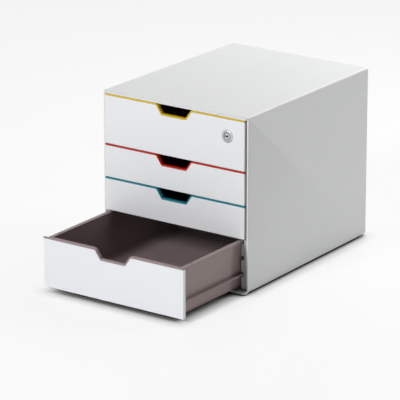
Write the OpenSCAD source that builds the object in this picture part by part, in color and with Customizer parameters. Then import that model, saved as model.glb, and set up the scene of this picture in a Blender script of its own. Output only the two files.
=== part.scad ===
// Desktop box of four drawers that slide on moulded runners, with a small cam lock in the top one.
// Frame: origin on the table under the middle of the housing, +Z up, drawer fronts facing -Y.
// The bottom drawer is drawn pulled out; the other three are drawn shut.

/* [Housing] */
// Width over the side walls at their front edge
body_w = 280; // [274:1:320]
// Depth from the front edge of the side walls to the back
body_d = 356; // [340:1:390]
// How much narrower each side is at the back than at the front
side_taper = 4.5; // [3:0.5:4.5]
// How much lower the top is at the back than at the front
top_taper = 2.5; // [0:0.5:4]
// Thickness of the moulded walls
wall_t = 2.4; // [1.8:0.2:2.8]
// Height of one storage unit; the stack is ten of them
unit_h = 28.05; // [26:0.05:34]
// Height of the front bar over the top drawer
header_h = 4.1; // [3.6:0.1:6]
// Thickness of the base plate
base_t = 3.6; // [3:0.2:5]
// Reach of the base ledge in front of the side walls
ledge_out = 10; // [6:1:16]
// Corner radius of the header and the ledge, seen from above
plan_r = 6; // [3:0.5:9]
// Radius along the long top edges
edge_r = 3; // [1:0.5:3.5]

/* [Feet] */
// Diameter of a rubber foot
foot_d = 16; // [12:1:20]
// Height of a foot below the base plate
foot_h = 2; // [1.5:0.5:4]
// Distance from a foot centre to the nearest housing sides
foot_inset = 24; // [20:1:40]

/* [Drawers] */
// Room beside a tray, from the top of its side wall to the outside of the housing
side_room = 14; // [14:0.5:19]
// Width of the rim blade outside the tray wall
blade_w = 5; // [4:0.5:5]
// Thickness of a running blade
blade_t = 2.4; // [1.8:0.2:3]
// How far a tray wall leans out over one storage unit of its height
tray_lean = 1; // [0:0.1:1.2]
// Thickness of the tray walls and floor
tray_t = 2; // [1.4:0.2:2.6]
// Fillet radius inside the tray
tray_r = 6; // [3:0.5:9]
// Length of a tray from front wall to back wall
tray_len = 341; // [310:1:342]
// How far a drawer can be pulled before its stops meet
travel = 260; // [200:5:270]
// How far the bottom drawer is pulled out
open_y = 165; // [0:1:200]

/* [Drawer fronts] */
// Depth of a front panel at its sides
front_d = 5.6; // [5:0.2:7]
// Height of the coloured lip over a front panel
lip_h = 2.6; // [2:0.1:2.8]
// Half width of the finger notch at the top of a panel
notch_top = 35; // [30:1:45]
// Half width of the finger notch at its bottom
notch_low = 24.2; // [18:0.5:26]
// Depth of the finger notch below the panel's top edge
notch_d = 15.7; // [12:0.5:20]
// Radius in the lower corners of the finger notch
notch_r = 4; // [3.5:0.5:6]
// Radius where the notch meets the panel's top edge
notch_flare = 5; // [4:0.5:8]

/* [Lock] */
// Distance of the lock from the right-hand side of the housing
lock_side = 37; // [36:1:80]
// Distance of the lock below the top of the top drawer's space
lock_drop = 31; // [30:1:34]
// Diameter of the lock's chrome ring
ring_d = 20.6; // [19:0.2:24]
// Diameter of the lock's turning core
core_d = 12.4; // [11:0.2:13]
// Reach of the cam from the lock axis
cam_reach = 30; // [28.6:0.2:30]

/* [Colours] */
// Tray of the top drawer
tray_colour_1 = "#f2c200"; // ["#f2c200":Yellow, "#cc2a14":Red, "#2f9fae":Teal, "#9a8c84":Taupe]
// Tray of the second drawer
tray_colour_2 = "#cc2a14"; // ["#f2c200":Yellow, "#cc2a14":Red, "#2f9fae":Teal, "#9a8c84":Taupe]
// Tray of the third drawer
tray_colour_3 = "#2f9fae"; // ["#f2c200":Yellow, "#cc2a14":Red, "#2f9fae":Teal, "#9a8c84":Taupe]
// Tray of the bottom drawer
tray_colour_4 = "#9a8c84"; // ["#f2c200":Yellow, "#cc2a14":Red, "#2f9fae":Teal, "#9a8c84":Taupe]
// Housing
housing_colour = "#e4e4e3"; // ["#e4e4e3":Light grey, "#eef0f3":White, "#3a3c40":Anthracite]
// Drawer fronts
front_colour = "#eef0f3"; // ["#eef0f3":White, "#e4e4e3":Light grey, "#3a3c40":Anthracite]

/* [Hidden] */
$fn = 48;
// Colours of the parts that come in one finish
runner_colour = "#d9dad8";
chrome_colour = "#c9ccd0";
steel_colour = "#b5b8bb";
rubber_colour = "#2b2b2b";
// Running clearance under a blade, and the gap kept between neighbouring faces
run_gap = 0.1;
face_gap = 0.3;
// Overshoot of a cutting shape past the face it cuts
cut = 1;
// Overlap of an arc with the line it runs into, so that the two cross and don't just touch
knit = 0.02;

front_edge = -body_d / 2;
back_edge = body_d / 2;
// Plane of the drawer fronts, ahead of the side walls
proud = 3.7;
front_y = front_edge - proud;

// Levels of the stack
stack_gap = 1.8;
stack_z = foot_h + base_t + stack_gap;
stack_top = stack_z + 10 * unit_h;
body_top = stack_top + header_h;
body_h = body_top - foot_h;
function slot_z(k) = stack_z + k * unit_h;

// Inside of the housing
floor_z = foot_h + base_t;
room_w = body_w - 2 * wall_t;
room_h = body_top - wall_t - floor_z;
room_back = back_edge - wall_t;

// Tray levels measured from the ends of its space
tray_lift = 1.4;
rim_drop = 2.35;
lip_drop = 0.35;
groove_floor = rim_drop + blade_t + run_gap;
groove_h = 5.4;
tray_x = body_w / 2 - side_room;
blade_x = tray_x + blade_w;
tray_y = front_y + 3.6;
tray_end = tray_y + tray_len;
rear_drop = 8;
skin_t = 2.2;
wing_d = 2.2;
// Radius of the upright corners inside the tray
corner_in = 1.5 * tray_r;

// Runner panel
runner_x = tray_x + face_gap;
web_x = blade_x + face_gap;
web_t = 1.3;
shelf_t = 1.6;
shelf_back = 10;
flange_t = 2.2;
flange_y = front_y + front_d + face_gap;
// Slots of the flange, measured down from the top of each unit
slot_high = 1;
slot_low = 8.5;
runner_end = room_back - 1.5;
runner_top = stack_top - 1.2;

// Stops in the grooves and the bumps on the rims that meet them
stop_x = runner_x + 2;
stop_back = 16;
stop_y = flange_y + stop_back;
stop_len = 5;
stop_clear = 0.5;
bump_h = 1.2;
bump_len = 6;
bump_w = blade_w - 2;
bump_x = blade_x - bump_w / 2;
bump_y = stop_y + stop_len + travel + face_gap + bump_len / 2;

// Front panel
panel_side = 4.6;
panel_x = body_w / 2 - panel_side;
flange_side = 1.6;
flange_x = panel_x + flange_side;
panel_rim = 3.6;
panel_wall = 2;
panel_low = 0.1;
soft_r = 1.2;
corner_r = 1.6;
peg_d = 5;
peg_len = 1.6;
peg_side = 27;
peg_x = panel_x - peg_side;
peg_inset = 12;

// Oval mark in each rim near the front
mark_d = 3;
mark_len = 4;
mark_deep = 0.6;
mark_x = tray_x + mark_d / 2;
mark_back = 32;
mark_y = front_y + mark_back;

// Foot recess, and how far the ledge laps under the base plate's face
foot_top = foot_h + base_t / 2;
foot_edge = 0.8;
ledge_z = foot_h - 0.6;
// Chamfer along the lower back edge
back_cut_y = 5;
back_cut_z = 4;

// Finger notch: slope of its sides
notch_run = notch_top - notch_low;
notch_side = sqrt(notch_run * notch_run + notch_d * notch_d);
notch_tan = tan(atan2(notch_d, notch_run) / 2);

// Lock
barrel_d = 16;
barrel_len = 19;
barrel_flat = 13;
ring_out = 1.6;
ring_face = 1.1;
boss_d = barrel_d + 8;
core_face = 1;
core_step = 0.7;
core_step_deep = 1.5;
key_x = -5.1;
key_len = 5.8;
key_w = 1.8;
key_deep = 12;
key_dot = 3.6;
nut_af = 20;
nut_t = 3;
cam_t = 2;
cam_w = 12;
cam_hub = 18;
square_s = 7;
square_len = cam_t + 0.1;
lock_x = body_w / 2 - lock_side;
lock_z = stack_top - lock_drop;
barrel_end = front_y + barrel_len;
cam_y = barrel_end + face_gap;
strike_t = 4.5;
strike_w = 20;
strike_h = 5.4;
screw_d = 4;
screw_len = 8;
head_r = 4;
head_h = 2.4;
cross_len = 3.8;
cross_w = 0.8;
cross_z = 1.3;
washer_d = 11;
washer_t = 0.8;

// Spaces of the four drawers, top one first: first unit and number of units
space_1 = [7, 3];
space_2 = [5, 2];
space_3 = [3, 2];
space_4 = [0, 3];

// Which sub-part to draw

// ---- helpers ----

// Sweep a flat shape drawn as (x, z) from y0 to y1
module along_y(y0, y1)
  translate([0, y1, 0])
  rotate([90, 0, 0])
  linear_extrude(height = y1 - y0)
  children();

// Sweep a flat shape drawn as (y, z) from x0 to x1
module along_x(x0, x1)
  translate([x0, 0, 0])
  rotate([90, 0, 90])
  linear_extrude(height = x1 - x0)
  children();

// Rectangle between two corners
module rect(x0, z0, x1, z1)
  translate([x0, z0])
  square([x1 - x0, z1 - z0]);

// Rectangle between two corners with all four corners rounded
module soft_rect(x0, z0, x1, z1, r) {
  rect(x0 + r, z0, x1 - r, z1);
  rect(x0, z0 + r, x1, z1 - r);
  for (x = [x0 + r, x1 - r])
    for (z = [z0 + r, z1 - r])
      translate([x, z])
      circle(r = r);
}

// Rectangle with only its lower corners rounded
module tub(x0, z0, x1, z1, r) {
  rect(x0, z0 + r, x1, z1);
  rect(x0 + r, z0, x1 - r, z0 + 2 * r);
  for (x = [x0 + r, x1 - r])
    translate([x, z0 + r])
    circle(r = r);
}

// Tub of half width x0 below, whose sides lean out to half width x1 above the round corners
module lean_tub(x0, x1, z0, z1, r) {
  tub(-x0, z0, x0, z0 + 2 * r, r);
  polygon([[-x0, z0 + r], [x0, z0 + r], [x1, z1], [-x1, z1]]);
}

// Outline of the finger notch moved inward by g; z is the panel's top edge
module notch_shape(z, g) {
  shift = g * (notch_side - notch_run) / notch_d;
  a = notch_top - shift;
  b = notch_low - shift;
  top = z + g;
  low = top - notch_d;
  r = notch_r - g;
  f = notch_flare + g;
  tr = r * notch_tan;
  tf = f * notch_tan;
  cx = notch_run / notch_side;
  cz = notch_d / notch_side;
  polygon([
    [-a, top + cut], [-a, top], [-b - tr * cx, low + tr * cz], [-b + tr, low],
    [b - tr, low], [b + tr * cx, low + tr * cz], [a, top], [a, top + cut]
  ]);
  for (s = [-1, 1]) {
    translate([s * (b - tr), low + r])
      circle(r = r + knit);
    difference() {
      polygon([
        [s * (a - tf * cx), top - tf * cz], [s * (a + tf), top],
        [s * (a + tf), top + cut], [s * (a - tf * cx), top + cut]
      ]);
      translate([s * (a + tf), top - f])
        circle(r = f + knit);
    }
  }
}

// ---- housing ----

// Tapered block, full size at the front, narrower and lower at the back
module tapered(w, h, d, dw, dh, r)
  rotate([90, 0, 0])
  mirror([0, 0, 1])
  linear_extrude(height = d, scale = [(w - 2 * dw) / w, (h - dh) / h], slices = 1)
  soft_rect(-w / 2, 0, w / 2, h, r, $fn = 32);

module foot_at(sx, sy)
  translate([sx * (body_w / 2 - foot_inset), sy * (body_d / 2 - foot_inset), 0])
  children();

// Front bar over the top drawer, flush with the drawer fronts
module header()
  intersection() {
    translate([0, 0, stack_top])
      linear_extrude(height = header_h)
      soft_rect(-body_w / 2, front_y, body_w / 2, front_y + 6 * plan_r, plan_r);
    along_y(front_y, front_edge + 2 * wall_t)
      soft_rect(-body_w / 2, foot_h, body_w / 2, body_top, edge_r);
    along_x(-body_w / 2, body_w / 2)
      soft_rect(front_y, stack_top - 2 * soft_r, front_y + 6 * plan_r, body_top, soft_r);
  }

// Ledge under the bottom drawer, ahead of the side walls
module ledge()
  intersection() {
    translate([0, 0, ledge_z])
      linear_extrude(height = floor_z - ledge_z)
      soft_rect(-body_w / 2, front_edge - ledge_out, body_w / 2, front_edge + 6 * plan_r, plan_r);
    along_x(-body_w / 2, body_w / 2)
      soft_rect(front_edge - ledge_out, ledge_z, front_edge + wall_t, floor_z, soft_r);
  }

// Rib under the ceiling that the raised cam catches behind
module strike()
  along_y(cam_y - face_gap - strike_t, cam_y - 2 * face_gap)
  rect(lock_x - strike_w / 2, stack_top - strike_h, lock_x + strike_w / 2, body_top - wall_t / 2);

module housing() color(housing_colour) {
  difference() {
    union() {
      translate([0, front_edge, foot_h])
        tapered(body_w, body_h, body_d, side_taper, top_taper, edge_r);
      ledge();
    }
    translate([0, front_edge - cut, floor_z])
      tapered(room_w, room_h, room_back - front_edge + cut, side_taper, top_taper, 1);
    for (sx = [-1, 1])
      for (sy = [-1, 1])
        foot_at(sx, sy)
        cylinder(d = foot_d + 2 * face_gap, h = foot_top);
    along_x(-body_w, body_w)
      polygon([
        [back_edge - back_cut_y, foot_h - cut], [back_edge - back_cut_y, foot_h],
        [back_edge, foot_h + back_cut_z], [back_edge + cut, foot_h + back_cut_z],
        [back_edge + cut, foot_h - cut]
      ]);
  }
  header();
  strike();
}

module foot(sx, sy)
  foot_at(sx, sy)
  rotate_extrude()
  polygon([
    [0, 0], [foot_d / 2 - foot_edge, 0], [foot_d / 2, foot_edge],
    [foot_d / 2, foot_top], [0, foot_top]
  ]);

// ---- runner panels ----

// Right-hand runner: web, a pair of shelves for each groove, slotted front flange
module runner() {
  along_y(flange_y, runner_end)
    rect(web_x, floor_z, web_x + web_t, runner_top);
  difference() {
    along_y(flange_y, flange_y + flange_t)
      rect(runner_x, floor_z + stack_gap, flange_x, runner_top);
    for (k = [1 : 10])
      along_y(flange_y - cut, flange_y + flange_t + cut)
      rect(runner_x - cut, slot_z(k) - slot_low, web_x, slot_z(k) - slot_high);
  }
  // the lower shelves start behind the slots, which show dark from the front
  for (k = [1 : 10])
    along_y(flange_y + flange_t + shelf_back, runner_end)
    rect(runner_x, slot_z(k) - groove_floor - shelf_t, web_x + web_t / 2, slot_z(k) - groove_floor);
  for (k = [1 : 9])
    along_y(flange_y, runner_end)
    rect(runner_x, slot_z(k) - groove_floor + groove_h,
         web_x + web_t / 2, slot_z(k) - groove_floor + groove_h + shelf_t);
  // stops that hang into the grooves used by the drawer rims
  for (s = [space_1, space_2, space_3, space_4])
    along_y(stop_y, stop_y + stop_len)
    rect(stop_x, slot_z(s[0] + s[1]) - rim_drop + stop_clear,
         web_x + web_t / 2, min(slot_z(s[0] + s[1]) - groove_floor + groove_h + shelf_t / 2, runner_top));
}

// ---- drawers ----

// Coloured tray for the space that starts at unit k and is n units high
module tray(k, n) {
  low = slot_z(k) + tray_lift;
  top = slot_z(k + n);
  rim = top - rim_drop;
  lip = top - lip_drop;
  panel_top = lip - lip_h;
  in_x = tray_x - tray_t;
  base_x = tray_x - tray_lean * n;
  difference() {
    union() {
      along_y(tray_y, tray_end)
        lean_tub(base_x, tray_x, low, rim, 3);
      along_y(tray_y, tray_y + tray_t)
        rect(-tray_x, rim - cut, tray_x, lip);
      along_y(front_y, tray_y + tray_t)
        rect(-tray_x, panel_top, tray_x, lip);
      along_y(front_y, tray_y + tray_t)
        intersection() {
          notch_shape(panel_top, face_gap);
          rect(-tray_x, panel_top - notch_d, tray_x, lip);
        }
      along_y(front_y, front_y + wing_d)
        rect(-panel_x, panel_top, panel_x, lip);
      // rim blades and rib blades
      for (z = [rim, slot_z(k + 1) - rim_drop])
        along_y(tray_y, tray_end)
        rect(-blade_x, z - blade_t, blade_x, z);
      // stop bumps on the rim blades
      for (s = [-1, 1])
        translate([s * bump_x, bump_y, rim + (bump_h - cut) / 2])
        cube([bump_w, bump_len, bump_h + cut], center = true);
    }
    intersection() {
      along_y(tray_y + tray_t, tray_end - tray_t)
        lean_tub(base_x - tray_t, in_x, low + tray_t, rim + cut, tray_r);
      along_x(-tray_x, tray_x)
        tub(tray_y + tray_t, low + tray_t, tray_end - tray_t, lip + cut, tray_r);
      translate([0, 0, low])
        linear_extrude(height = lip + cut - low)
        soft_rect(-tray_x + cut, tray_y + tray_t, tray_x - cut, tray_end - tray_t, corner_in);
    }
    // finger notch through lip and front wall
    along_y(front_y - cut, tray_y + tray_t + cut)
      notch_shape(panel_top, lip_h);
    // lower back wall
    along_y(tray_end - tray_t - tray_r, tray_end + cut)
      rect(-in_x + tray_r, rim - rear_drop, in_x - tray_r, lip + cut);
    // sockets for the front panel's pegs
    for (x = [-peg_x, peg_x])
      for (z = [low + peg_inset, panel_top - peg_inset])
        along_y(tray_y - cut, tray_y + tray_t + cut)
        translate([x, z])
        circle(d = peg_d + 2 * run_gap);
    for (s = [-1, 1]) {
      for (y = [-mark_len / 2, mark_len / 2])
        translate([s * mark_x, mark_y + y, rim - mark_deep])
        cylinder(d = mark_d, h = mark_deep + cut);
      translate([s * mark_x - mark_d / 2, mark_y - mark_len / 2, rim - mark_deep])
        cube([mark_d, mark_len, mark_deep + cut]);
    }
  }
}

// White front panel for the same space: a shallow cap over the tray's front wall
module front_panel(k, n) {
  low = slot_z(k) + panel_low;
  top = slot_z(k + n) - lip_drop - lip_h;
  tray_low = slot_z(k) + tray_lift;
  difference() {
    intersection() {
      along_y(front_y, front_y + front_d)
        soft_rect(-panel_x, low, panel_x, top, corner_r);
      along_x(-panel_x, panel_x)
        soft_rect(front_y, low, front_y + 2 * front_d, top, soft_r);
      translate([0, 0, low])
        linear_extrude(height = top - low)
        soft_rect(-panel_x, front_y, panel_x, front_y + 2 * front_d, soft_r);
    }
    along_y(front_y + skin_t, front_y + front_d + cut)
      difference() {
        rect(-panel_x + panel_wall, low + panel_wall, panel_x - panel_wall, top - panel_wall);
        notch_shape(top, -panel_wall);
      }
    along_y(front_y + panel_rim, front_y + front_d + cut)
      rect(-panel_x + panel_wall, low - cut, panel_x - panel_wall, top + cut);
    along_y(front_y - cut, front_y + front_d + cut)
      notch_shape(top, 0);
  }
  for (x = [-peg_x, peg_x])
    for (z = [tray_low + peg_inset, top - peg_inset])
      along_y(front_y + skin_t / 2, tray_y + tray_t + peg_len)
      translate([x, z])
      circle(d = peg_d);
}

// Double-D outline of the lock barrel
module barrel_shape(gap)
  intersection() {
    circle(d = barrel_d + 2 * gap);
    square([barrel_d + 2 * gap + cut, barrel_flat + 2 * gap], center = true);
  }

// ---- lock, drawn about its own axis ----

module at_lock(y)
  translate([lock_x, y, lock_z])
  rotate([-90, 0, 0])
  children();

// Chrome ring and barrel
module lock_body() color(chrome_colour) {
  at_lock(front_y)
    difference() {
      union() {
        rotate_extrude()
          polygon([
            [0, 0], [ring_d / 2, 0], [ring_d / 2, -0.5], [ring_d / 2 - 0.6, -1.2],
            [ring_d / 2 - 1.8, -ring_out], [core_d / 2 + 1.2, -ring_out],
            [core_d / 2 + 0.6, -ring_face], [0, -ring_face]
          ]);
        linear_extrude(height = barrel_len)
          barrel_shape(0);
      }
      translate([0, 0, -ring_out - cut])
        cylinder(d = core_d + 2 * run_gap, h = barrel_len + ring_out + 2 * cut);
    }
}

// Turning core with its keyway
module lock_core() color(chrome_colour) {
  at_lock(front_y)
    difference() {
      union() {
        translate([0, 0, -core_face])
          cylinder(d = core_d - 2 * core_step, h = core_step_deep + cut);
        translate([0, 0, core_step_deep - core_face])
          cylinder(d = core_d, h = core_face - core_step_deep + barrel_len + run_gap);
        translate([0, 0, barrel_len])
          cylinder(d = core_d - 2, h = face_gap);
        translate([-square_s / 2, -square_s / 2, barrel_len])
          cube([square_s, square_s, face_gap + square_len]);
      }
      translate([key_x, -key_w / 2, -core_face - cut])
        cube([key_len, key_w, key_deep + cut]);
      translate([key_x + key_len, 0, -core_face - cut])
        cylinder(d = key_dot, h = key_deep + cut);
      translate([0, 0, barrel_len + face_gap + square_len - screw_len])
        cylinder(d = screw_d + 2 * run_gap, h = screw_len + cut);
    }
}

module lock_nut() color(steel_colour) {
  at_lock(tray_y + tray_t)
    difference() {
      cylinder(d = nut_af / cos(30), h = nut_t, $fn = 6);
      translate([0, 0, -cut])
        cylinder(d = barrel_d + 2 * run_gap, h = nut_t + 2 * cut);
    }
}

// Cam, pointing to the middle of the drawer while unlocked
module lock_cam() color(steel_colour) {
  at_lock(cam_y)
    difference() {
      linear_extrude(height = cam_t)
        union() {
          circle(d = cam_hub);
          rect(-cam_reach + cam_w / 2, -cam_w / 2, 0, cam_w / 2);
          translate([-cam_reach + cam_w / 2, 0])
            circle(d = cam_w);
        }
      translate([0, 0, cam_t / 2])
        cube([square_s + 2 * run_gap, square_s + 2 * run_gap, cam_t + 2 * cut], center = true);
    }
}

module cam_washer() color(steel_colour) {
  at_lock(cam_y + square_len)
    difference() {
      cylinder(d = washer_d, h = washer_t);
      translate([0, 0, -cut])
        cylinder(d = screw_d + 2 * face_gap, h = washer_t + 2 * cut);
    }
}

// Pan-head screw with a cross recess
module cam_screw() color(steel_colour) {
  at_lock(cam_y + square_len + washer_t)
    difference() {
      union() {
        translate([0, 0, -washer_t - screw_len + cut])
          cylinder(d = screw_d, h = washer_t + screw_len - cut);
        rotate_extrude()
          polygon([[0, 0], [head_r, 0], [head_r, 1], [head_r - 0.8, 2], [0, head_h]]);
      }
      for (a = [0, 90])
        rotate([0, 0, a])
        translate([-cross_len / 2, -cross_w / 2, cross_z])
        cube([cross_len, cross_w, head_h]);
    }
}

// ---- drawers with the lock fitted ----

module pulled()
  translate([0, -open_y, 0])
  children();

module tray_1() color(tray_colour_1)
  difference() {
    tray(space_1[0], space_1[1]);
    at_lock(front_y - cut)
      linear_extrude(height = front_d + 2 * cut)
      barrel_shape(face_gap);
  }

module front_1() color(front_colour)
  difference() {
    union() {
      front_panel(space_1[0], space_1[1]);
      at_lock(front_y + skin_t / 2)
        cylinder(d = boss_d, h = panel_rim - skin_t / 2);
    }
    at_lock(front_y - cut)
      linear_extrude(height = front_d + 2 * cut)
      barrel_shape(face_gap);
  }

// ---- sub-parts that share a shape ----

module runner_right() color(runner_colour) runner();
module runner_left() color(runner_colour) mirror([1, 0, 0]) runner();
module tray_2() color(tray_colour_2) tray(space_2[0], space_2[1]);
module tray_3() color(tray_colour_3) tray(space_3[0], space_3[1]);
module tray_4() color(tray_colour_4) pulled() tray(space_4[0], space_4[1]);
module front_2() color(front_colour) front_panel(space_2[0], space_2[1]);
module front_3() color(front_colour) front_panel(space_3[0], space_3[1]);
module front_4() color(front_colour) pulled() front_panel(space_4[0], space_4[1]);
module foot_front_left() color(rubber_colour) foot(-1, -1);
module foot_front_right() color(rubber_colour) foot(1, -1);
module foot_back_left() color(rubber_colour) foot(-1, 1);
module foot_back_right() color(rubber_colour) foot(1, 1);

housing();
runner_left();
runner_right();
tray_1();
tray_2();
tray_3();
tray_4();
front_1();
front_2();
front_3();
front_4();
lock_body();
lock_core();
lock_nut();
lock_cam();
cam_washer();
cam_screw();
foot_front_left();
foot_front_right();
foot_back_left();
foot_back_right();
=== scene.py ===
"""Desktop drawer box: finishes, soft edges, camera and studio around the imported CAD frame."""

import math

import bpy
import numpy as np
from bpy.props import FloatProperty, FloatVectorProperty, PointerProperty
from bpy.types import Operator, Panel, PropertyGroup
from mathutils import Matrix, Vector

bl_info = {
    "name": "Desktop Drawer Box",
    "version": (1, 0, 0),
    "blender": (4, 5, 0),
    "location": "View3D > Sidebar > Drawer Box",
    "description": "Dresses a desktop box of moulded drawers and sets up its studio",
    "category": "Object",
}

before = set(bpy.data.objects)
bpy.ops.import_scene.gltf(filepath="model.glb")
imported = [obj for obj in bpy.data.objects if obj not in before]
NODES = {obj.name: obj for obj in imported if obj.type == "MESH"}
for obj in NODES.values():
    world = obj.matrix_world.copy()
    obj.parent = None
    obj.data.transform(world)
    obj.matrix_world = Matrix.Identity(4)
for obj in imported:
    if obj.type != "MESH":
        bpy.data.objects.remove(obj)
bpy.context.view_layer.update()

MM = 0.001
WHITE = (1.0, 1.0, 1.0, 1.0)

TRAYS = ("tray_1", "tray_2", "tray_3", "tray_4")
TRAY_TONES = ("yellow", "red", "teal", "taupe")
FRONTS = ("front_1", "front_2", "front_3", "front_4")
RUNNERS = ("runner_left", "runner_right")
FEET = ("foot_front_left", "foot_front_right", "foot_back_left", "foot_back_right")
CHROME_PARTS = ("lock_body", "lock_core")
ZINC_PARTS = ("lock_nut", "lock_cam", "cam_washer", "cam_screw")


# ---- colours and nodes ----

# a Mix node set to colour is reached by these numbers, since its sockets share their names
MIX_A, MIX_B, MIXED = 6, 7, 2


def linear(code):
    """Linear RGBA of an sRGB hex colour, by the standard sRGB curve."""
    parts = [int(code[i : i + 2], 16) / 255 for i in (1, 3, 5)]
    rgb = [c / 12.92 if c <= 0.04045 else ((c + 0.055) / 1.055) ** 2.4 for c in parts]
    return (*rgb, 1.0)


def shade(rgba, factor):
    """The same colour at a share of its light, up to full light."""
    return (*(min(1.0, c * factor) for c in rgba[:3]), 1.0)


def add(tree, kind, inputs=None, **settings):
    """Adds a node; an input is a value, or a pair of node and output to link."""
    node = tree.nodes.new(kind)
    for key, value in settings.items():
        setattr(node, key, value)
    for key, value in (inputs or {}).items():
        if isinstance(value, tuple) and isinstance(value[0], bpy.types.Node):
            tree.links.new(value[0].outputs[value[1]], node.inputs[key])
        else:
            node.inputs[key].default_value = value
    return node


def blank_material(name):
    """An empty node material and its tree."""
    material = bpy.data.materials.new(name)
    material.use_nodes = True
    material.node_tree.nodes.clear()
    return material, material.node_tree


def backdrop_rays(tree):
    """1 for camera, glossy and transmission rays, which see a white backdrop, and 0 for others."""
    rays = add(tree, "ShaderNodeLightPath")
    direct = add(
        tree,
        "ShaderNodeMath",
        {0: (rays, "Is Camera Ray"), 1: (rays, "Is Glossy Ray")},
        operation="ADD",
        use_clamp=True,
    )
    return add(
        tree,
        "ShaderNodeMath",
        {0: (direct, 0), 1: (rays, "Is Transmission Ray")},
        operation="ADD",
        use_clamp=True,
    )


# ---- shade in gaps ----

# reach_mm: how near other faces stand; darkest: share of the colour left in the tightest gap;
# closed and clear: open shares of the surroundings at which it is darkest and plain
# each set below paints shade into a colour by how near other faces stand
SEAM_SHADE = {"reach_mm": 3.0, "darkest": 0.35, "closed": 0.2, "clear": 0.85}
GROOVE_SHADE = {"reach_mm": 2.5, "darkest": 0.02, "closed": 0.5, "clear": 0.97}
CONTACT_SHADOW = {"reach_mm": 12.0, "darkest": 0.02, "closed": 0.4, "clear": 0.85}


def gap_shade(tree, source, output, reach_mm, darkest, closed, clear):
    """The colour at a node's output with painted shade: darkened where other faces stand near, as
    in a seam.
    """
    near = add(tree, "ShaderNodeAmbientOcclusion", {"Distance": reach_mm * MM}, samples=8)
    share = add(
        tree,
        "ShaderNodeMapRange",
        {
            "Value": (near, "AO"),
            "From Min": closed,
            "From Max": clear,
            "To Min": darkest,
        },
    )
    grey = add(
        tree,
        "ShaderNodeCombineColor",
        {channel: (share, "Result") for channel in ("Red", "Green", "Blue")},
    )
    return add(
        tree,
        "ShaderNodeMix",
        {"Factor": 1.0, MIX_A: (source, output), MIX_B: (grey, "Color")},
        data_type="RGBA",
        blend_type="MULTIPLY",
    )


# ---- moulded plastic ----

POLYSTYRENE_IOR = 1.59
# a low index stands for the trays' fine skin, which scatters most of the gloss
TRAY_IOR = 1.35
FLOW_MM = 140.0
FLOW_TONES = (0.975, 1.02)
GRAIN_DEPTH_MM = 0.05
GRAIN_POLISH = (-0.05, 0.07)


def moulded_plastic(name, colour, grain_mm, roughness, bump, ior=POLYSTYRENE_IOR):
    """Injection-moulded plastic: a spark-eroded skin of fine grain over broad flow tones."""
    material, tree = blank_material(name)
    place = add(tree, "ShaderNodeTexCoord")
    # the melt cools unevenly, which shows as tones as wide as a hand
    flow = add(
        tree,
        "ShaderNodeTexNoise",
        {"Vector": (place, "Object"), "Scale": 1 / (FLOW_MM * MM), "Detail": 2.0},
    )
    dark, light = (shade(colour, factor) for factor in FLOW_TONES)
    tone = add(
        tree,
        "ShaderNodeMix",
        {"Factor": (flow, "Fac"), MIX_A: dark, MIX_B: light},
        data_type="RGBA",
    )
    # painted shade: the colour darkens in seams and corners where other faces stand near
    seam_shaded = gap_shade(tree, tone, MIXED, **SEAM_SHADE)
    # real grain is about 0.2 mm, drawn coarser so that it shows
    grain = add(
        tree,
        "ShaderNodeTexNoise",
        {
            "Vector": (place, "Object"),
            "Scale": 1 / (grain_mm * MM),
            "Detail": 3.0,
            "Roughness": 0.6,
        },
    )
    polish = add(
        tree,
        "ShaderNodeMapRange",
        {
            "Value": (grain, "Fac"),
            "To Min": roughness + GRAIN_POLISH[0],
            "To Max": roughness + GRAIN_POLISH[1],
        },
    )
    relief = add(
        tree,
        "ShaderNodeBump",
        {"Height": (grain, "Fac"), "Strength": bump, "Distance": GRAIN_DEPTH_MM * MM},
    )
    skin = add(
        tree,
        "ShaderNodeBsdfPrincipled",
        {
            "Base Color": (seam_shaded, MIXED),
            "Roughness": (polish, "Result"),
            "Normal": (relief, "Normal"),
            "IOR": ior,
        },
    )
    add(tree, "ShaderNodeOutputMaterial", {"Surface": (skin, "BSDF")})
    return material


# ---- plated metal ----

LINE_DEPTH_MM = 0.02
LINE_POLISH = (-0.06, 0.08)


def plated_metal(name, colour, roughness, line_mm):
    """Electroplated metal: bright, with hair-fine polishing lines that turn with the part."""
    material, tree = blank_material(name)
    place = add(tree, "ShaderNodeTexCoord")
    lines = add(
        tree,
        "ShaderNodeTexNoise",
        {"Vector": (place, "Object"), "Scale": 1 / (line_mm * MM), "Detail": 4.0},
    )
    polish = add(
        tree,
        "ShaderNodeMapRange",
        {
            "Value": (lines, "Fac"),
            "To Min": roughness + LINE_POLISH[0],
            "To Max": roughness + LINE_POLISH[1],
        },
    )
    relief = add(
        tree,
        "ShaderNodeBump",
        {"Height": (lines, "Fac"), "Strength": 0.15, "Distance": LINE_DEPTH_MM * MM},
    )
    plain = add(tree, "ShaderNodeRGB")
    plain.outputs["Color"].default_value = colour
    # painted reflection and shade: bevels and grooves mirror what stands right beside them, so
    # their colour is darkened to look dark
    seam_shaded = gap_shade(tree, plain, "Color", **GROOVE_SHADE)
    skin = add(
        tree,
        "ShaderNodeBsdfPrincipled",
        {
            "Base Color": (seam_shaded, MIXED),
            "Metallic": 1.0,
            "Roughness": (polish, "Result"),
            "Normal": (relief, "Normal"),
        },
    )
    add(tree, "ShaderNodeOutputMaterial", {"Surface": (skin, "BSDF")})
    return material


# ---- cast rubber ----

BLOOM_MM = 4.0
BLOOM_TONES = (0.8, 1.5)


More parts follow.
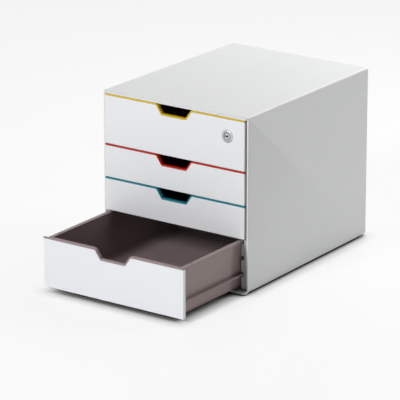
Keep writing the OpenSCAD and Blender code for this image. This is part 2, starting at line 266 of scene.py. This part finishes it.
def cast_rubber(name, colour):
    """Cast rubber: dull, with a dusty bloom in patches a few millimetres wide."""
    material, tree = blank_material(name)
    place = add(tree, "ShaderNodeTexCoord")
    bloom = add(
        tree,
        "ShaderNodeTexNoise",
        {"Vector": (place, "Object"), "Scale": 1 / (BLOOM_MM * MM), "Detail": 3.0},
    )
    dark, light = (shade(colour, factor) for factor in BLOOM_TONES)
    tone = add(
        tree,
        "ShaderNodeMix",
        {"Factor": (bloom, "Fac"), MIX_A: dark, MIX_B: light},
        data_type="RGBA",
    )
    skin = add(
        tree,
        "ShaderNodeBsdfPrincipled",
        {"Base Color": (tone, MIXED), "Roughness": 0.85, "IOR": 1.52},
    )
    add(tree, "ShaderNodeOutputMaterial", {"Surface": (skin, "BSDF")})
    return material


# ---- floor board ----

BOARD_IOR = 1.3
BOARD_POLISH = (0.22, 0.3)
FIBRE_MM = 30.0
LIFT_REACH_MM = 26.0
LIFT_FALL = 3.0


def studio_floor(colour, lift):
    """Smooth white board, seen at full white in part, so that its shadows stay soft and pale."""
    material, tree = blank_material("white_board_smooth")
    place = add(tree, "ShaderNodeTexCoord")
    fibre = add(
        tree,
        "ShaderNodeTexNoise",
        {"Vector": (place, "Object"), "Scale": 1 / (FIBRE_MM * MM), "Detail": 2.0},
    )
    polish = add(
        tree,
        "ShaderNodeMapRange",
        {"Value": (fibre, "Fac"), "To Min": BOARD_POLISH[0], "To Max": BOARD_POLISH[1]},
    )
    plain = add(tree, "ShaderNodeRGB")
    plain.outputs["Color"].default_value = colour
    # painted contact shadow: the board's colour darkens where the object stands near
    shaded = gap_shade(tree, plain, "Color", **CONTACT_SHADOW)
    board = add(
        tree,
        "ShaderNodeBsdfPrincipled",
        {
            "Base Color": (shaded, MIXED),
            "Roughness": (polish, "Result"),
            "IOR": BOARD_IOR,
        },
    )
    white = add(tree, "ShaderNodeEmission", {"Strength": 1.0})
    seen = backdrop_rays(tree)
    # open board is lifted to white, but the lift is held back in the narrow gaps under the object,
    # which paints shadow there on top of the board's real shadow
    gap = add(
        tree,
        "ShaderNodeAmbientOcclusion",
        {"Distance": LIFT_REACH_MM * MM},
        samples=16,
    )
    clear = add(tree, "ShaderNodeMath", {0: (gap, "AO"), 1: LIFT_FALL}, operation="POWER")
    opened = add(
        tree,
        "ShaderNodeMath",
        {0: (clear, 0), 1: (seen, 0)},
        operation="MULTIPLY",
    )
    share = add(tree, "ShaderNodeMath", {0: (opened, 0), 1: lift}, operation="MULTIPLY")
    mixed = add(
        tree,
        "ShaderNodeMixShader",
        {0: (share, 0), 1: (board, "BSDF"), 2: (white, "Emission")},
    )
    add(tree, "ShaderNodeOutputMaterial", {"Surface": (mixed, "Shader")})
    return material


# ---- shapes ----

WELD_MM = 0.005
CRISP_DEG = 32
EDGE_SEGMENTS = 2


def soften(node, width_mm):
    """Rounds a CAD node's crisp edges, after its loose triangles are welded."""
    weld = node.modifiers.new("weld", "WELD")
    weld.merge_threshold = WELD_MM * MM
    bevel = node.modifiers.new("moulding_radius", "BEVEL")
    bevel.limit_method = "ANGLE"
    bevel.angle_limit = math.radians(CRISP_DEG)
    bevel.width = width_mm * MM
    bevel.segments = EDGE_SEGMENTS
    bevel.use_clamp_overlap = True
    bevel.harden_normals = True


def dress(names, material, edge_mm=None):
    """Puts one material on CAD nodes, whatever slots they came with, and may soften them."""
    for name in names:
        mesh = NODES[name].data
        mesh.materials.clear()
        mesh.materials.append(material)
        if edge_mm is not None:
            soften(NODES[name], edge_mm)


def grid_mesh(name, points):
    """A sheet of quads over points[i, j], a two-way array of places; faces follow i then j."""
    rows, cols = points.shape[:2]
    index = np.arange(rows * cols).reshape(rows, cols)
    quads = np.stack(
        [index[:-1, :-1], index[1:, :-1], index[1:, 1:], index[:-1, 1:]], axis=-1
    ).reshape(-1, 4)
    mesh = bpy.data.meshes.new(name)
    mesh.from_pydata(points.reshape(-1, 3).tolist(), [], quads.tolist())
    mesh.update()
    piece = bpy.data.objects.new(name, mesh)
    bpy.context.scene.collection.objects.link(piece)
    return piece


# ---- what a user may change ----


def colour_property(name, description, code):
    """A colour setting whose default is an sRGB hex colour."""
    return FloatVectorProperty(
        name=name,
        description=description,
        subtype="COLOR",
        size=4,
        default=linear(code),
    )


def power_property(name, description, watts):
    """A lamp's power setting, in watts."""
    return FloatProperty(
        name=name, description=description, unit="POWER", default=watts, min=0.0
    )


class DrawerBoxFinish(PropertyGroup):
    """Colours and skin of the box."""

    housing: colour_property("Housing", "Light grey of the housing", "#e2e3e3")
    runner: colour_property("Runners", "Grey of the runner panels", "#c4c5c4")
    front: colour_property("Fronts", "Cool white of the drawer fronts", "#eef0f3")
    tray_1: colour_property("Top tray", "Yellow of the top tray", "#dfb800")
    tray_2: colour_property("Second tray", "Red of the second tray", "#c42200")
    tray_3: colour_property("Third tray", "Teal of the third tray", "#228a9a")
    tray_4: colour_property("Bottom tray", "Taupe of the bottom tray", "#9d8a89")
    chrome: colour_property("Chrome", "Plating of the lock's ring and core", "#c4c6c8")
    zinc: colour_property("Zinc", "Plating of the cam and its fixings", "#b5b8bb")
    rubber: colour_property("Feet", "Black of the feet", "#2b2b2b")
    grain: FloatProperty(
        name="Grain",
        description="Size of the moulding grain, in millimetres",
        default=1.4,
        min=0.4,
        max=4.0,
    )
    edge: FloatProperty(
        name="Edge radius",
        description="Moulding radius on crisp edges, in millimetres",
        default=0.3,
        min=0.05,
        max=0.8,
    )


class DrawerBoxStudio(PropertyGroup):
    """Camera, floor and light."""

    azimuth: FloatProperty(
        name="Azimuth",
        description="Where the camera stands round the box",
        subtype="ANGLE",
        default=math.radians(35.03),
    )
    elevation: FloatProperty(
        name="Elevation",
        description="How high the camera looks down from",
        subtype="ANGLE",
        default=math.radians(18.22),
    )
    distance: FloatProperty(
        name="Distance",
        description="From the camera to the point it looks at",
        unit="LENGTH",
        default=5.36,
    )
    lens: FloatProperty(
        name="Lens",
        description="Focal length in millimetres on a 36 mm sensor",
        unit="CAMERA",
        default=291.4,
    )
    target: FloatVectorProperty(
        name="Target",
        description="Point the camera looks at",
        subtype="XYZ",
        unit="LENGTH",
        default=(-0.07655, 0.0, 0.06915),
    )
    ambient: FloatProperty(
        name="Ambient",
        description="Level of the light from all round",
        default=0.02,
        min=0.0,
        max=1.5,
    )
    key: power_property("Key", "Power of the lamp in front", 80.0)
    side: power_property("Side", "Power of the lamp behind on the right", 46.0)
    left: power_property("Left", "Power of the weak lamp on the left", 9.0)
    back: power_property("Back", "Power of the small lamp behind the top", 10.5)
    floor: colour_property("Floor", "White of the floor board", "#f7f7f7")
    floor_lift: FloatProperty(
        name="Floor white",
        description="Share of the floor that shows as plain white",
        default=0.8,
        min=0.0,
        max=1.0,
    )


# ---- pieces ----


class DRAWERBOX_OT_housing(Operator):
    """Moulded skin of the housing, satin on every side"""

    bl_idname = "drawer_box.housing"
    bl_label = "Housing"

    def execute(self, context):
        f = context.scene.drawer_box_finish
        skin = moulded_plastic(
            "polystyrene_moulded_light_grey",
            tuple(f.housing),
            f.grain,
            roughness=0.42,
            bump=0.3,
        )
        dress(("housing",), skin, f.edge)
        return {"FINISHED"}


class DRAWERBOX_OT_runners(Operator):
    """Moulded skin of the slotted runner panels, duller than the housing"""

    bl_idname = "drawer_box.runners"
    bl_label = "Runner panels"

    def execute(self, context):
        f = context.scene.drawer_box_finish
        skin = moulded_plastic(
            "polystyrene_moulded_mid_grey",
            tuple(f.runner),
            f.grain,
            roughness=0.5,
            bump=0.3,
        )
        dress(RUNNERS, skin, f.edge)
        return {"FINISHED"}


class DRAWERBOX_OT_trays(Operator):
    """Through-coloured moulded trays with small radii on their rims and ribs"""

    bl_idname = "drawer_box.trays"
    bl_label = "Trays"

    def execute(self, context):
        f = context.scene.drawer_box_finish
        for name, tone in zip(TRAYS, TRAY_TONES):
            skin = moulded_plastic(
                f"polystyrene_moulded_{tone}",
                tuple(getattr(f, name)),
                f.grain,
                roughness=0.38,
                bump=0.25,
                ior=TRAY_IOR,
            )
            dress((name,), skin, f.edge)
        return {"FINISHED"}


class DRAWERBOX_OT_fronts(Operator):
    """White skin of the drawer fronts, smoother than the housing's"""

    bl_idname = "drawer_box.fronts"
    bl_label = "Fronts"

    def execute(self, context):
        f = context.scene.drawer_box_finish
        skin = moulded_plastic(
            "polystyrene_moulded_cool_white",
            tuple(f.front),
            f.grain,
            roughness=0.34,
            bump=0.15,
        )
        dress(FRONTS, skin, f.edge)
        return {"FINISHED"}


class DRAWERBOX_OT_lock(Operator):
    """Chrome ring and core, zinc-plated cam and fixings"""

    bl_idname = "drawer_box.lock"
    bl_label = "Lock"

    def execute(self, context):
        f = context.scene.drawer_box_finish
        chrome = plated_metal(
            "chrome_plated_zinc_casting", tuple(f.chrome), roughness=0.26, line_mm=1.0
        )
        zinc = plated_metal(
            "zinc_plated_pressed_steel", tuple(f.zinc), roughness=0.34, line_mm=0.8
        )
        dress(CHROME_PARTS, chrome)
        dress(ZINC_PARTS, zinc)
        return {"FINISHED"}


class DRAWERBOX_OT_feet(Operator):
    """Dull rubber feet"""

    bl_idname = "drawer_box.feet"
    bl_label = "Feet"

    def execute(self, context):
        f = context.scene.drawer_box_finish
        dress(FEET, cast_rubber("rubber_cast_black", tuple(f.rubber)))
        return {"FINISHED"}


# ---- studio: lengths in metres ----

FLOOR_HALF = 6.0
FLOOR_POINTS = 9

# azimuth and elevation in degrees, as toward counts them, and the side of the square
LAMPS = {"key": (-8, 28, 0.8), "side": (140, 26, 0.8), "left": (-95, 20, 1.6)}
LAMP_AIM = Vector((0.0, 0.0, 0.15))
LAMP_DISTANCE = 3.6
BACK_LAMP_PLACE = Vector((0.0, 0.9, 1.2))
BACK_LAMP_AIM = Vector((0.0, 0.0, 0.29))
BACK_LAMP_SIZE = 0.8

SENSOR_MM = 36.0
VIEW_END = 100.0


def toward(azimuth_deg, elevation_deg):
    """Unit direction from the box; azimuth counts from ahead of the fronts to the box's right."""
    az, el = math.radians(azimuth_deg), math.radians(elevation_deg)
    return Vector(
        (math.sin(az) * math.cos(el), -math.cos(az) * math.cos(el), math.sin(el))
    )


def place_and_aim(name, data, place, direction):
    """Puts a lamp or camera into the scene at a place, looking along a direction."""
    thing = bpy.data.objects.new(name, data)
    thing.location = place
    thing.rotation_euler = direction.to_track_quat("-Z", "Y").to_euler()
    bpy.context.scene.collection.objects.link(thing)
    return thing


def area_lamp(name, place, aim, size, watts):
    """A square soft lamp at a place, turned to its aim."""
    data = bpy.data.lights.new(name, "AREA")
    data.shape = "SQUARE"
    data.size = size
    data.energy = watts
    place_and_aim(name, data, place, aim - place)


def world_light(level):
    """Plain light from all round, which the backdrop rays see as white."""
    world = bpy.data.worlds.new("studio")
    bpy.context.scene.world = world
    world.use_nodes = True
    tree = world.node_tree
    tree.nodes.clear()
    seen = backdrop_rays(tree)
    around = add(tree, "ShaderNodeBackground", {"Color": WHITE, "Strength": level})
    white = add(tree, "ShaderNodeBackground", {"Color": WHITE, "Strength": 1.0})
    mixed = add(
        tree,
        "ShaderNodeMixShader",
        {0: (seen, 0), 1: (around, "Background"), 2: (white, "Background")},
    )
    add(tree, "ShaderNodeOutputWorld", {"Surface": (mixed, "Shader")})


class DRAWERBOX_OT_studio(Operator):
    """White floor, soft lamps and the camera"""

    bl_idname = "drawer_box.studio"
    bl_label = "Studio"

    def execute(self, context):
        s = context.scene.drawer_box_studio
        world_light(s.ambient)

        # the floor is flat: z is 0 over an even square grid of x and y
        reach = np.linspace(-FLOOR_HALF, FLOOR_HALF, FLOOR_POINTS)
        x, y = np.meshgrid(reach, reach, indexing="ij")
        floor = grid_mesh("floor", np.stack([x, y, np.zeros_like(x)], axis=-1))
        floor.data.materials.append(studio_floor(tuple(s.floor), s.floor_lift))

        for name, (azimuth, elevation, size) in LAMPS.items():
            place = LAMP_AIM + toward(azimuth, elevation) * LAMP_DISTANCE
            area_lamp(name, place, LAMP_AIM, size, getattr(s, name))
        area_lamp("back", BACK_LAMP_PLACE, BACK_LAMP_AIM, BACK_LAMP_SIZE, s.back)

        to_camera = toward(math.degrees(s.azimuth), math.degrees(s.elevation))
        data = bpy.data.cameras.new("camera")
        data.sensor_width = SENSOR_MM
        data.lens = s.lens
        data.clip_end = VIEW_END
        place = Vector(s.target) + to_camera * s.distance
        context.scene.camera = place_and_aim("camera", data, place, -to_camera)
        context.scene.view_settings.view_transform = "Standard"
        return {"FINISHED"}


# ---- the add-on ----


class DRAWERBOX_PT_panel(Panel):
    """Lists the settings and the steps in the sidebar"""

    bl_label = "Drawer Box"
    bl_idname = "DRAWERBOX_PT_panel"
    bl_space_type = "VIEW_3D"
    bl_region_type = "UI"
    bl_category = "Drawer Box"

    def draw(self, context):
        for group in (context.scene.drawer_box_finish, context.scene.drawer_box_studio):
            for key in group.__annotations__:
                self.layout.prop(group, key)
        for step in STEPS:
            self.layout.operator(step.bl_idname)


STEPS = (
    DRAWERBOX_OT_housing,
    DRAWERBOX_OT_runners,
    DRAWERBOX_OT_trays,
    DRAWERBOX_OT_fronts,
    DRAWERBOX_OT_lock,
    DRAWERBOX_OT_feet,
    DRAWERBOX_OT_studio,
)
CLASSES = (DrawerBoxFinish, DrawerBoxStudio, *STEPS, DRAWERBOX_PT_panel)


def register():
    """Registers the classes and hangs the two groups of settings on the scene."""
    for cls in CLASSES:
        bpy.utils.register_class(cls)
    bpy.types.Scene.drawer_box_finish = PointerProperty(type=DrawerBoxFinish)
    bpy.types.Scene.drawer_box_studio = PointerProperty(type=DrawerBoxStudio)


def unregister():
    """Takes away what register added."""
    del bpy.types.Scene.drawer_box_studio
    del bpy.types.Scene.drawer_box_finish
    for cls in reversed(CLASSES):
        bpy.utils.unregister_class(cls)


def main():
    """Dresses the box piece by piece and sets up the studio."""
    register()
    bpy.ops.drawer_box.housing()
    bpy.ops.drawer_box.runners()
    bpy.ops.drawer_box.trays()
    bpy.ops.drawer_box.fronts()
    bpy.ops.drawer_box.lock()
    bpy.ops.drawer_box.feet()
    bpy.ops.drawer_box.studio()


if __name__ == "__main__":
    main()
